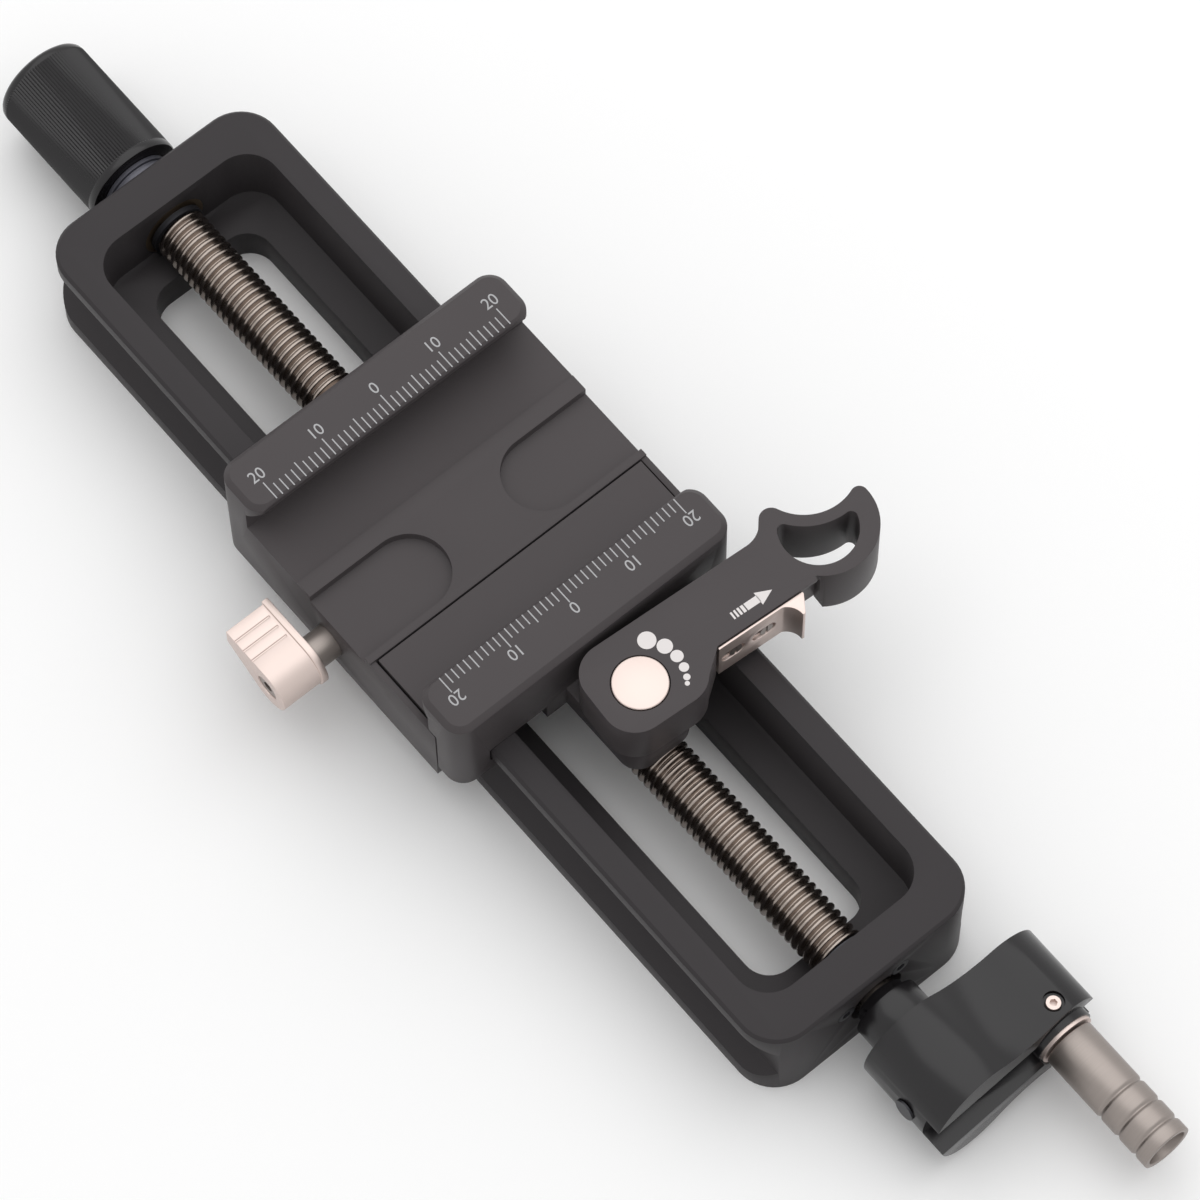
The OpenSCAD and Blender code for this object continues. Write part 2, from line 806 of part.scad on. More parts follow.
module carriage_body() {
    color("#4c4a4e")
    on_carriage()
        difference() {
            union() {
                difference() {
                    translate([0, 0, skirt_z])
                        linear_extrude(deck_z - skirt_z)
                            clamp_plan(-half_clamp, body_front_x);
                    frame_room();
                }
                rotate([0, 0, 180])
                    jaw_block();
                translate([-block_len / 2, -block_w / 2, block_z])
                    cube([block_len, block_w, deck_under - block_z + 1]);
            }
            translate([joint_x, -half_clamp_w + cheek_t, plate_under - gap])
                cube([big, clamp_w - 2 * cheek_t, big]);
            translate([joint_x, -50, deck_z - 0.4])
                cube([big, 100, big]);
            translate([-lip_x - undercut, -50, deck_z - step_d])
                cube([step_x + lip_x + undercut, 100, 1]);
            both_sides()
                translate([0, 0, deck_z - pocket_d])
                    linear_extrude(jaw_h) {
                        translate([0, pocket_y])
                            circle(pocket_r);
                        translate([-pocket_r, pocket_y])
                            square([2 * pocket_r, 50]);
                    }
            on_axis() {
                rod_x(-50, 100, screw_d / 2 + gap);
                rod_x(nut_rear_x - 1, nut_len + 1, nut_d / 2);
                at_nut_screws()
                    cylinder(h = 20, r = nut_screw_d / 2);
            }
            translate([0, 0, bar_z])
                rod_x(bar_root_x, 20, bar_d / 2);
            for (side = [-1, 1])
                translate([0, side * pin_y, bar_z])
                    rod_x(block_front_x - pin_depth - 3, 20, pin_d / 2 + run_fit);
            translate([lock_x, 0, lock_z])
                rotate([90, 0, 0])
                    cylinder(h = 50, r = lock_screw_d / 2 + run_fit);
            translate([lock_x - shoe_len / 2 - gap, -skirt_in - shoe_t - gap, skirt_z - 1])
                cube([shoe_len + 2 * gap, shoe_t + gap + groove_d + 1, deck_under - skirt_z + 1]);
        }
}

module drive_nut() {
    color("#b58d3d")
    on_carriage()
        on_axis()
            tube_x(nut_rear_x, nut_len, nut_d / 2, screw_d / 2 + run_fit);
}

module nut_set_screws() {
    color("#77777c")
    on_carriage()
        on_axis()
            at_nut_screws()
                difference() {
                    translate([0, 0, nut_d / 2])
                        cylinder(h = block_w / 2 - nut_d / 2 - 0.3, r = nut_screw_d / 2);
                    translate([0, 0, block_w / 2 - 1.3])
                        cylinder(h = 3, r = nut_screw_d * 0.3, $fn = 6);
                }
}

module draw_bar() {
    head_half = eye_half_x + eye_wall;
    head_x = pivot_x + ecc_x;
    color("#9a9a9e")
    on_carriage()
        translate([0, 0, bar_z])
            difference() {
                union() {
                    rod_x(bar_root_x, head_x - head_half - bar_root_x + 1, bar_d / 2);
                    translate([head_x - head_half, -bar_head_w / 2, -bar_d / 2])
                        cube([2 * head_half, bar_head_w, bar_d]);
                }
                translate([head_x, -eye_y, 0])
                    cube([2 * eye_half_x, 2 * eye_half_y, 20], center = true);
            }
}

// Compression spring along +X that starts at x, with ground ends.
module coil_x(x, len, r, wire, coils) {
    turn_per_mm = 360 * coils / len;
    translate([x, 0, 0])
        rotate([0, 90, 0])
            linear_extrude(len, twist = -360 * coils, slices = coils * 14, $fn = 8)
                polygon([for (t = [0:45:315])
                    let (a = turn_per_mm * wire / 2 * sin(t), q = r + wire / 2 * cos(t))
                        [q * cos(a), q * sin(a)]]);
}

module jaw_springs() {
    color("#c4c4c8")
    on_carriage()
        for (side = [-1, 1])
            translate([0, side * pin_y, bar_z])
                coil_x(spring_x, spring_len, pin_d / 2 + spring_wire / 2 + 0.1,
                    spring_wire, spring_coils);
}

module lock_screw() {
    tip = skirt_in + shoe_t + run_fit;
    color("#b0a89c")
    on_lock()
        rotate([90, 0, 0]) {
            translate([0, 0, tip])
                cylinder(h = 2, r = lock_screw_d / 2 - 0.7);
            translate([0, 0, tip + 1])
                cylinder(h = half_clamp_w + lock_stand + lock_w / 2 - tip - 1, r = lock_screw_d / 2);
        }
}

// Side outline of the thumb knob: a round end with a tapered wing.
module wing_outline(extra) {
    r = lock_hub_r + extra;
    circle(r);
    polygon([[0, r], [-lock_reach - extra, r], [-lock_reach - extra, r - lock_tip_t - 2 * extra],
        [-r * 0.6, -r * 0.8], [0, 0]]);
}

module lock_knob() {
    near = half_clamp_w + lock_stand;
    color("#cfc6be")
    on_lock()
        rotate([90, 0, 0])
            difference() {
                union() {
                    translate([0, 0, near])
                        linear_extrude(lock_rim_w)
                            wing_outline(0.3);
                    translate([0, 0, near + lock_rim_w])
                        linear_extrude(lock_w - lock_rim_w)
                            wing_outline(0);
                }
                translate([0, 0, near - 1])
                    cylinder(h = lock_w / 2 + 1, r = lock_screw_d / 2);
                translate([0, 0, near + lock_w - 1.2])
                    cylinder(h = 3, r = 1.9);
                translate([0, 0, near])
                    cylinder(h = big, r = 1);
                for (i = [0:2])
                    translate([1.8 - lock_reach + lock_groove_pitch * i, lock_hub_r - 0.15,
                        near + lock_rim_w + 0.4])
                        cube([lock_groove_w, 1, lock_w]);
            }
}

module lock_knob_screw() {
    near = half_clamp_w + lock_stand;
    color("#8a8784")
    on_lock()
        rotate([90, 0, 0])
            difference() {
                union() {
                    translate([0, 0, near + lock_w / 2])
                        cylinder(h = lock_w / 2 - 1, r = 1);
                    translate([0, 0, near + lock_w - 1.2])
                        cylinder(h = 1, r = 1.9);
                }
                translate([0, 0, near + lock_w - 0.8])
                    cylinder(h = 2, r = 0.9, $fn = 6);
            }
}

module lock_shoe() {
    out = -skirt_in - shoe_t;
    low = skirt_z + gap;
    color("#a98a46")
    on_carriage()
        translate([lock_x, 0, 0])
            rotate([90, 0, 90])
                linear_extrude(shoe_len, center = true)
                    polygon([[out, low], [-lip_in, low], [-lip_in, lip_slope_z + gap - groove_d - gap],
                        [-skirt_in, lip_slope_z], [-skirt_in, rail_h - gap], [out, rail_h - gap]]);
}

module moving_jaw() {
    wall_x0 = half_clamp - front_wall_t;
    color("#4c4a4e")
    on_carriage()
        difference() {
            union() {
                translate([joint_x + gap, -half_clamp_w + cheek_t + gap, plate_under])
                    cube([half_clamp - clamp_corner_r - joint_x - gap,
                        clamp_w - 2 * cheek_t - 2 * gap, plate_t]);
                jaw_block();
                difference() {
                    translate([0, 0, jaw_skirt_z])
                        linear_extrude(deck_z - jaw_skirt_z)
                            clamp_plan(wall_x0, half_clamp);
                    frame_room();
                }
                translate([wall_x0, -block_w / 2, web_under])
                    cube([front_wall_t, block_w, deck_under - web_under + eps]);
                translate([0, 0, web_under])
                    linear_extrude(bracket_top - web_under)
                        bracket_plan();
            }
            translate([0, 0, bar_z])
                rod_x(wall_x0 - 1, pivot_x - wall_x0, bar_d / 2 + gap);
            for (side = [-1, 1])
                translate([0, side * pin_y, bar_z])
                    rod_x(wall_x0 - 1, front_wall_t, pin_d / 2);
            translate([half_clamp + 3, -bracket_w / 2 + 1.2, 0])
                cube([pivot_x + bracket_front - 1.1 - half_clamp - 3, bracket_w - 2.4, eye_ceiling]);
            translate([pivot_x, 0, 0])
                cylinder(h = 30, r = pivot_d / 2 + run_fit);
        }
}

// Plan outline of the bracket under the lever's pivot end.
module bracket_plan() {
    len = pivot_x + bracket_front - half_clamp;
    translate([half_clamp - 1, -bracket_w / 2])
        square([len - 2, bracket_w]);
    translate([half_clamp + len / 2, 0])
        round_rect(len, bracket_w, 3);
}

module guide_pins() {
    color("#a9a9ad")
    on_carriage()
        for (side = [-1, 1])
            translate([0, side * pin_y, bar_z])
                rod_x(block_front_x - pin_depth, half_clamp - 1 - block_front_x + pin_depth, pin_d / 2);
}

module cam_washer() {
    color("#55545a")
    on_carriage()
        translate([pivot_x, 0, bracket_top])
            difference() {
                cylinder(h = cam_washer_t, r = bracket_w / 2 - 0.4);
                translate([0, 0, -1])
                    cylinder(h = 5, r = pivot_d / 2 + run_fit);
            }
}

// Outline of the pivot end and arm, with Y along the lever.
module lever_outline() {
    r = lever_corner_r;
    end_w = lever_back + lever_front;
    end_l = lever_near + lever_shoulder;
    translate([(lever_front - lever_back) / 2, (lever_shoulder - lever_near) / 2])
        round_rect(end_w, end_l, r);
    translate([-lever_back, 0])
        square([arm_w, ring_y - 5]);
    polygon([[arm_front, lever_shoulder + 3], [arm_front - 3, lever_shoulder + 3],
        [arm_front - 3, 4], [lever_front, 4], [lever_front - 0.7, lever_shoulder - 2.3]]);
}

// Circle of radius ra at the origin, without a circle of radius rb at the distance
// away along -X. The two tips are rounded with the radius rt.
module crescent(ra, rb, away, rt) {
    pa = ra - rt;
    pb = rb + rt;
    tip_x = (pb * pb - pa * pa - away * away) / (2 * away);
    tip_y = sqrt(pa * pa - tip_x * tip_x);
    reach = 3 * rt;
    difference() {
        circle(ra, $fn = 96);
        translate([-away, 0])
            circle(rb, $fn = 96);
        for (side = [-1, 1])
            translate([tip_x, side * tip_y]) {
                out = [tip_x, side * tip_y] * reach / pa;
                in = [-away - tip_x, -side * tip_y] * reach / pb;
                polygon([[0, 0], out, out + in, in]);
            }
    }
    for (side = [-1, 1])
        translate([tip_x, side * tip_y])
            circle(rt);
}

// Outline of the finger ring, with its back hollow, heel and neck.
module ring_outline() {
    heel_x = hollow_x + (hollow_r + ring_heel_r) * cos(64);
    heel_y = hollow_y - (hollow_r + ring_heel_r) * sin(64);
    neck_x = -lever_back - ring_neck_r;
    neck_span = ring_neck_r + ring_heel_r;
    neck_y = heel_y - sqrt(neck_span * neck_span - (heel_x - neck_x) * (heel_x - neck_x));
    translate([ring_x, ring_y])
        rotate([0, 0, -20])
            crescent(ring_r, hollow_r, hollow_off, ring_tip_r);
    difference() {
        union() {
            translate([-lever_back, ring_root_y])
                square([arm_w, ring_y - ring_root_y]);
            polygon([[neck_x, neck_y], [1 - lever_back, neck_y], [ring_x, ring_y],
                [heel_x, heel_y]]);
        }
        translate([neck_x, neck_y])
            circle(ring_neck_r, $fn = 96);
        translate([hollow_x, hollow_y])
            circle(hollow_r, $fn = 96);
    }
    translate([heel_x, heel_y])
        circle(ring_heel_r);
}

// Outline of the crescent-shaped finger hole.
module finger_hole() {
    translate([ring_x + 0.2, ring_y - 0.8])
        rotate([0, 0, -24])
            crescent(ring_r - ring_wall - 0.2, hollow_r + ring_wall - 0.3, hollow_off + 0.5,
                hole_corner_r);
}

module clamp_lever() {
    color("#3e3c3f")
    on_lever()
        difference() {
            union() {
                translate([0, 0, lever_under])
                    linear_extrude(lever_t)
                        difference() {
                            lever_outline();
                            translate([-big / 2, ring_root_y])
                                square(big);
                        }
                translate([0, 0, lever_under])
                    linear_extrude(lever_t)
                        ring_outline();
                translate([0, 0, lever_top - ring_t])
                    linear_extrude(ring_t - 1)
                        intersection() {
                            ring_outline();
                            translate([-big / 2, ring_step_y])
                                square(big);
                        }
                translate([arm_front - 1, lever_shoulder - 1, lever_top - hood_t])
                    cube([hood_reach + 1, ring_step_y - lever_shoulder, hood_t]);
            }
            translate([0, 0, lever_top - ring_t - 1])
                linear_extrude(ring_t + 2)
                    finger_hole();
            translate([0, 0, lever_under - 1])
                cylinder(h = 20, r = pivot_d / 2);
            translate([0, 0, lever_top - cap_t + 0.15])
                cylinder(h = 5, r = cap_d / 2 + 0.15);
            translate([arm_front - lug_d - gap, lug_near - gap, lock_mid_z - lug_h / 2 - gap])
                cube([20, lug_far + tab_travel - lug_near + 2 * gap, lug_h + 2 * gap]);
            translate([arm_front - spring_in, lug_far, lock_mid_z])
                rotate([-90, 0, 0])
                    cylinder(h = tab_spring_len, r = 1);
            translate([arm_front, tab_near - gap, 0])
                cube([20, tab_far - tab_near + gap, lever_top - hood_t]);
            translate([arm_front - 0.8, tab_far, 0])
                cube([20, tab_travel + 2, lever_top - 1.2]);
            at_tab_screws()
                translate([0, 0, -4])
                    cylinder(h = 4, r = tab_thread_d / 2);
        }
}

// Repeats children at the tab's two screws, with Z out of the arm's front face.
module at_tab_screws() {
    for (i = [0:1])
        translate([arm_front, tab_screw_y + i * tab_screw_pitch, lock_mid_z])
            rotate([0, 90, 0])
                children();
}

// Round-ended bar from z0 to z1 that lets the tab slide past a screw of radius r.
module slide_slot(r, z0, z1) {
    translate([0, gap, z0])
        cylinder(h = z1 - z0, r = r);
    translate([0, -tab_travel, z0])
        cylinder(h = z1 - z0, r = r);
    translate([-r, -tab_travel, z0])
        cube([2 * r, tab_travel + gap, z1 - z0]);
}

module pivot_pin() {
    color("#a5a3a2")
    on_carriage()
        translate([pivot_x, 0, 0]) {
            translate([0, 0, eye_ceiling])
                cylinder(h = lever_top - cap_t - eye_ceiling + 0.15, r = pivot_d / 2);
            translate([ecc_x, -ecc_x, web_under + gap])
                cylinder(h = eye_ceiling - web_under - gap + eps, r = ecc_r);
        }
}

module pivot_cap() {
    color("#efe2da")
    on_carriage()
        translate([pivot_x, 0, lever_top - cap_t + 0.15])
            cylinder(h = cap_t, r = cap_d / 2);
}

module lock_tab() {
    inner = arm_front + tab_gap;
    hook_tip = arm_front + tab_hook;
    hook_r = hook_tip - tab_face + 0.2;
    hook_y = tab_far - 1.9 - hook_r;
    color("#c3bcb4")
    on_lever()
        difference() {
            union() {
                translate([inner, tab_near, tab_z])
                    cube([tab_t, tab_far - tab_near, tab_h]);
                translate([arm_front - lug_d, lug_near, lock_mid_z - lug_h / 2])
                    cube([lug_d + tab_gap + tab_t / 2, lug_far - lug_near, lug_h]);
                translate([0, 0, tab_z])
                    linear_extrude(tab_h)
                        difference() {
                            polygon([[inner, hook_y], [hook_tip, hook_y],
                                [hook_tip, tab_far - 1.5], [tab_face, tab_far],
                                [inner, tab_far]]);
                            translate([hook_tip, hook_y])
                                circle(hook_r, $fn = 96);
                        }
            }
            translate([arm_front, tab_near - 1, lever_top - hood_t - tab_gap])
                cube([hood_reach + tab_gap, tab_far - tab_near + 2, hood_t + 1]);
            at_tab_screws() {
                slide_slot(tab_thread_d / 2 + 0.1, -1, 5);
                slide_slot(tab_head_d / 2 + 0.1, tab_head_z - 0.05, 5);
            }
        }
}

module tab_spring() {
    color("#c4c4c8")
    on_lever()
        translate([arm_front - spring_in, lug_far, lock_mid_z])
            rotate([0, 0, 90])
                coil_x(0, tab_spring_len, 0.65, 0.35, 5);
}

module tab_screws() {
    color("#9a9a9e")
    on_lever()
        at_tab_screws()
            difference() {
                union() {
                    translate([0, 0, -3.5])
                        cylinder(h = 3.5 + tab_head_z + tab_head_t / 2, r = tab_thread_d / 2);
                    translate([0, 0, tab_head_z])
                        cylinder(h = tab_head_t, r = tab_head_d / 2);
                }
                translate([-tab_head_d, -0.2, tab_head_z + tab_head_t / 2])
                    cube([2 * tab_head_d, 0.4, 2]);
            }
}

rail_frame();
front_bearing();
rear_bush();
retainer_screws();
lead_screw();
thrust_washers();
front_collar();
rear_collar();
fine_knob();
knob_set_screw();
crank_arm();
crank_set_screw();
axle_set_screw();
grip_axle();
grip_washer();
crank_grip();
carriage_body();
drive_nut();
nut_set_screws();
draw_bar();
jaw_springs();
lock_screw();
lock_knob();
lock_knob_screw();
lock_shoe();
moving_jaw();
guide_pins();
cam_washer();
clamp_lever();
pivot_pin();
pivot_cap();
lock_tab();
tab_spring();
tab_screws();
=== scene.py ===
"""Looks of the macro focusing rail: finishes, rounded edges, the helical thread, the knurl,
the printed marks, the light and the camera. Everything is in metres."""

import json
import math

import bpy
from mathutils import Matrix, Vector


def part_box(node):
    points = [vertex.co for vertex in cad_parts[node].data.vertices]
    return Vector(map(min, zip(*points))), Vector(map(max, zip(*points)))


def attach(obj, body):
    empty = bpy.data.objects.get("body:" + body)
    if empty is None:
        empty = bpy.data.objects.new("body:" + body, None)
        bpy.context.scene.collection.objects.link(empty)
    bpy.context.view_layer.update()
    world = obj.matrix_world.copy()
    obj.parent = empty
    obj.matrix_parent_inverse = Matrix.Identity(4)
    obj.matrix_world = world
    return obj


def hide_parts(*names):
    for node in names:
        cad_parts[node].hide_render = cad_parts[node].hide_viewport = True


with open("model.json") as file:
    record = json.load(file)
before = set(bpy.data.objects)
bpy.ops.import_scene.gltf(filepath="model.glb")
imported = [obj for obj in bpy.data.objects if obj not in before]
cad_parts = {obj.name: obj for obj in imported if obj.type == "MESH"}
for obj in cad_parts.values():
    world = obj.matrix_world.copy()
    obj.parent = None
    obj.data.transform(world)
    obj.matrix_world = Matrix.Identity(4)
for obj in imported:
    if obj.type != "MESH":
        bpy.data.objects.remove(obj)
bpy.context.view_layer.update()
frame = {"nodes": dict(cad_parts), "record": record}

MM = 0.001

# Places that the marks and the new pieces take from the CAD model.
SCREW_AXIS_Z = (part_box("front_bearing")[0].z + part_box("front_bearing")[1].z) / 2
SCREW_AXIS = (0, 0, SCREW_AXIS_Z)
JAW_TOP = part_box("carriage_body")[1].z
LEVER_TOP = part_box("clamp_lever")[1].z

# The clamp's channel and the lever's pivot, measured along X as in the CAD source.
REAR_END_TO_MIDDLE = 25.3 * MM
HALF_CHANNEL = 16.7 * MM
MIDDLE_TO_PIVOT = 34.0 * MM
CLAMP_MID_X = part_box("carriage_body")[0].x + REAR_END_TO_MIDDLE
REAR_JAW_INNER = CLAMP_MID_X - HALF_CHANNEL
FRONT_JAW_INNER = CLAMP_MID_X + HALF_CHANNEL
PIVOT = Vector((CLAMP_MID_X + MIDDLE_TO_PIVOT, 0.0, 0.0))
LEVER_ANGLE = math.radians(-4)

# Vertices closer than these are one, and faces within the angle are one flat face.
WELD_WIDE = 0.002 * MM
WELD_TIGHT = 0.0005 * MM
FLAT_WITHIN = math.radians(0.5)

# The lead screw. Its pitch, its radii and the washer are the CAD source's sizes. The thread's
# shape is given in shares of its pitch and of its height. Spare turns are cut off at the ends.
PITCH = 1.25 * MM
CREST_R = 4.0 * MM
ROOT_R = 3.35 * MM
THREAD_SHAPE = [
    (0.0, 0.0), (0.08, 0.04), (0.2, 0.45), (0.31, 0.86), (0.4, 1.0),
    (0.6, 1.0), (0.69, 0.86), (0.8, 0.45), (0.92, 0.04), (1.0, 0.0),
]
THREAD_STEPS = 32
SPARE_TURNS = 2
WASHER_T = 0.8 * MM
JOURNAL_R = 3.0 * MM
JOURNAL_EDGE = 0.4 * MM
JOURNAL_STEPS = 48

# The rear knob. Its rows are places along it, measured from its far or its near end. A near
# row also says how far it lies below the rim.
KNURL_DEPTH = 0.2 * MM
KNURL_TEETH = 96
KNURL_FAR_MARGIN = 1.5 * MM
KNURL_NEAR_MARGIN = 1.3 * MM
RIM_TOLERANCE = 0.01 * MM
KNOB_ROUNDING = 1.1 * MM
KNOB_ROUNDING_STEPS = 4
KNOB_FACE_INNER_R = 1.2 * MM
KNOB_FACE_BELOW_RIM = 2.4 * MM
KNOB_FAR_ROWS = (1.35 * MM, 1.6 * MM)
KNOB_NEAR_ROWS = (
    (1.4 * MM, 0), (1.15 * MM, 0), (0.4 * MM, 0), (0.1 * MM, 0.15 * MM), (0, 0.4 * MM),
)

# The ring between the knob and the frame. Its groove is as deep as half its width.
RING_GROOVE = 0.35 * MM
RING_EDGE = 0.12 * MM
RING_GROOVE_PLACE = 1.0 * MM
RING_STEPS = 96

# The printed marks. They sink a little into the surface that they stand on. Tick lengths are
# for a plain millimetre, a 5 and a 10. A digit's height is a share of the font's size.
MARK_LIFT = 0.01 * MM
MARK_DEPTH = 0.02 * MM
TICKS_EACH_SIDE = 20
HALF_TICK = 0.085 * MM
REAR_TICKS = (2.05 * MM, 2.6 * MM, 2.95 * MM)
FRONT_TICKS = (1.7 * MM, 2.2 * MM, 2.65 * MM)
REAR_TICK_GAP = 0.15 * MM
FRONT_TICK_GAP = 0.3 * MM
SCALE_VALUES = (-20, -10, 0, 10, 20)
REAR_NUMBERS_X = -25.9 * MM
FRONT_NUMBERS_X = 15.75 * MM
NUMBER_HEIGHT = 1.75 * MM
DIGIT_SHARE = 0.7
DIGIT_WIDTH = 0.92

# On the lever: the dots' arc with each dot's angle in degrees and radius in mm, and the
# arrow's bars as spans along the lever in mm.
DOT_ARC = 6.15 * MM
DOT_SIDES = 32
DOTS = ((136, 1.27), (112.5, 1.08), (92.6, 0.88), (75.6, 0.68), (62, 0.48), (53.5, 0.34))
ARROW_MIDDLE = -0.62 * MM
ARROW_HALF = 0.56 * MM
ARROW_BARS = ((15.35, 15.62), (15.87, 16.17), (16.4, 16.75), (16.95, 17.4), (17.58, 19.7))
ARROW_HEAD_Y = 20.37 * MM
ARROW_HEAD_R = 1 * MM
ARROW_HEAD_STRETCH = (1.2, 1.5, 1)

# The studio. Rays that light the part meet a greyer world and floor than rays that show them.
WORLD_LIGHT = 0.65
FLOOR_LIGHT = 0.3
SEEN_WHITE = 1.0
FLOOR_SIZE = 6
KEY_PLACE = (-0.15, 0.2, 0.9)
KEY_SIZE = (1.4, 1.4)
KEY_POWER = 5.5

# The camera, solved from the rail's edges and its scale.
CAMERA_PLACE = (0.28255721, -0.21123301, 0.790922)
CAMERA_RIGHT = (0.64099127, 0.7675139, -0.00725274)
CAMERA_BACK = (0.31787595, -0.25685044, 0.91267888)
CAMERA_LENS = 190.945
CAMERA_SENSOR = 36


# ---------------------------------------------------------------- modelling helpers


def new_object(name, data):
    """An object in the scene that shows the given data."""
    obj = bpy.data.objects.new(name, data)
    bpy.context.scene.collection.objects.link(obj)
    return obj


def deselect():
    """Selects nothing, in object mode."""
    bpy.ops.object.select_all(action="DESELECT")


def make_active(obj):
    """Selects one object alone and makes it the active one."""
    deselect()
    obj.select_set(True)
    bpy.context.view_layer.objects.active = obj


def start_edit(obj):
    """Opens the object in edit mode with everything selected."""
    make_active(obj)
    bpy.ops.object.mode_set(mode="EDIT")
    bpy.ops.mesh.select_all(action="SELECT")


def end_edit():
    """Closes edit mode."""
    bpy.ops.object.mode_set(mode="OBJECT")


def settle(obj):
    """Puts the object's place, turn and size into its mesh."""
    make_active(obj)
    bpy.ops.object.transform_apply(location=True, rotation=True, scale=True)


def select_vertices(obj, wanted):
    """Opens edit mode with only those vertices selected for which wanted(place) is true."""
    make_active(obj)
    for poly in obj.data.polygons:
        poly.select = False
    for edge in obj.data.edges:
        edge.select = False
    for vertex in obj.data.vertices:
        vertex.select = wanted(vertex.co)
    bpy.ops.object.mode_set(mode="EDIT")
    bpy.context.tool_settings.mesh_select_mode = (True, False, False)


def smooth(obj, angle=35):
    """Smooth shading, with edges above the angle in degrees kept sharp."""
    make_active(obj)
    bpy.ops.object.shade_smooth_by_angle(angle=math.radians(angle))


def bevel(obj, width, segments, angle=32):
    """Rounds the edges that are sharper than the angle, by a bevel that is applied."""
    make_active(obj)
    edge = obj.modifiers.new("rounded_edges", "BEVEL")
    edge.width = width
    edge.segments = segments
    edge.limit_method = "ANGLE"
    edge.angle_limit = math.radians(angle)
    edge.miter_outer = "MITER_ARC"
    bpy.ops.object.modifier_apply(modifier=edge.name)


def finish_piece(obj, material, slot, body, *nodes):
    """Gives a finished piece its material and its body, and hides the CAD nodes it stands for."""
    obj.data.materials.clear()
    obj.data.materials.append(material)
    if nodes:
        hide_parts(*nodes)
    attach(obj, body)


def softened(node, name, width, material, slot, body, segments=2):
    """A copy of a CAD piece whose sharp edges are rounded over."""
    obj = new_object(name, frame["nodes"][node].data.copy())
    start_edit(obj)
    bpy.ops.mesh.remove_doubles(threshold=WELD_WIDE)
    bpy.ops.mesh.dissolve_limited(angle_limit=FLAT_WITHIN)
    end_edit()
    bevel(obj, width, segments)
    smooth(obj)
    finish_piece(obj, material, slot, body, node)


# ---------------------------------------------------------------- shader helpers


def add(tree, kind, **settings):
    """A node with its settings and, under inputs, its socket values."""
    node = tree.nodes.new(kind)
    for key, value in settings.pop("inputs", {}).items():
        node.inputs[key].default_value = value
    for key, value in settings.items():
        setattr(node, key, value)
    return node


def surface_group(name, density_name, density, tone, change, roughness):
    """An empty surface group with its four values, which every material may change."""
    group = bpy.data.node_groups.new(name, "ShaderNodeTree")
    for label, kind, value in (
        (density_name, "NodeSocketFloat", density),
        ("Tone", "NodeSocketColor", (tone, tone, tone, 1)),
        ("Tone Change", "NodeSocketFloat", change),
        ("Roughness", "NodeSocketFloat", roughness),
    ):
        socket = group.interface.new_socket(label, in_out="INPUT", socket_type=kind)
        socket.default_value = value
    for label, kind in (
        ("Color", "NodeSocketColor"),
        ("Roughness", "NodeSocketFloat"),
        ("Height", "NodeSocketFloat"),
    ):
        group.interface.new_socket(label, in_out="OUTPUT", socket_type=kind)
    return group, group.nodes.new("NodeGroupInput"), group.nodes.new("NodeGroupOutput")


def vary_surface(group, given, out, pattern, relief):
    """Tone and roughness change with the pattern, and the height follows the relief."""
    link = group.links.new
    spread = add(group, "ShaderNodeMath", operation="SUBTRACT", inputs={1: 0.5})
    link(pattern.outputs["Fac"], spread.inputs[0])
    amount = add(group, "ShaderNodeMath", operation="MULTIPLY")
    link(spread.outputs[0], amount.inputs[0])
    link(given.outputs["Tone Change"], amount.inputs[1])
    value = add(group, "ShaderNodeMath", operation="ADD", inputs={1: 1.0})
    link(amount.outputs[0], value.inputs[0])
    tint = add(group, "ShaderNodeHueSaturation")
    link(given.outputs["Tone"], tint.inputs["Color"])
    link(value.outputs[0], tint.inputs["Value"])
    rough = add(group, "ShaderNodeMath", operation="MULTIPLY")
    link(given.outputs["Roughness"], rough.inputs[0])
    link(value.outputs[0], rough.inputs[1])
    link(tint.outputs["Color"], out.inputs["Color"])
    link(rough.outputs[0], out.inputs["Roughness"])
    link(relief.outputs["Fac"], out.inputs["Height"])


def blasted_surface():
    """Fine bead-blasted skin: a grain for the bump and a slow change of tone."""
    group, given, out = surface_group(
        "blasted_surface", "Grain Density", 9000.0, tone=0.05, change=0.12, roughness=0.45
    )
    link = group.links.new
    place = add(group, "ShaderNodeTexCoord")
    grain = add(group, "ShaderNodeTexNoise", inputs={"Detail": 3.0, "Roughness": 0.6})
    slow = add(group, "ShaderNodeTexNoise", inputs={"Scale": 70.0, "Detail": 4.0})
    link(place.outputs["Object"], grain.inputs["Vector"])
    link(place.outputs["Object"], slow.inputs["Vector"])
    link(given.outputs["Grain Density"], grain.inputs["Scale"])
    vary_surface(group, given, out, slow, grain)
    return group


def turned_surface():
    """Lathe lines: fine rings round X, the axis that the screw's pieces share."""
    group, given, out = surface_group(
        "turned_surface", "Line Density", 12000.0, tone=0.5, change=0.2, roughness=0.3
    )
    link = group.links.new
    place = add(group, "ShaderNodeTexCoord")
    squeeze = add(group, "ShaderNodeMapping", inputs={"Scale": (1.0, 0.02, 0.02)})
    link(place.outputs["Object"], squeeze.inputs["Vector"])
    lines = add(group, "ShaderNodeTexNoise", inputs={"Detail": 2.0})
    link(squeeze.outputs[0], lines.inputs["Vector"])
    link(given.outputs["Line Density"], lines.inputs["Scale"])
    vary_surface(group, given, out, lines, lines)
    return group


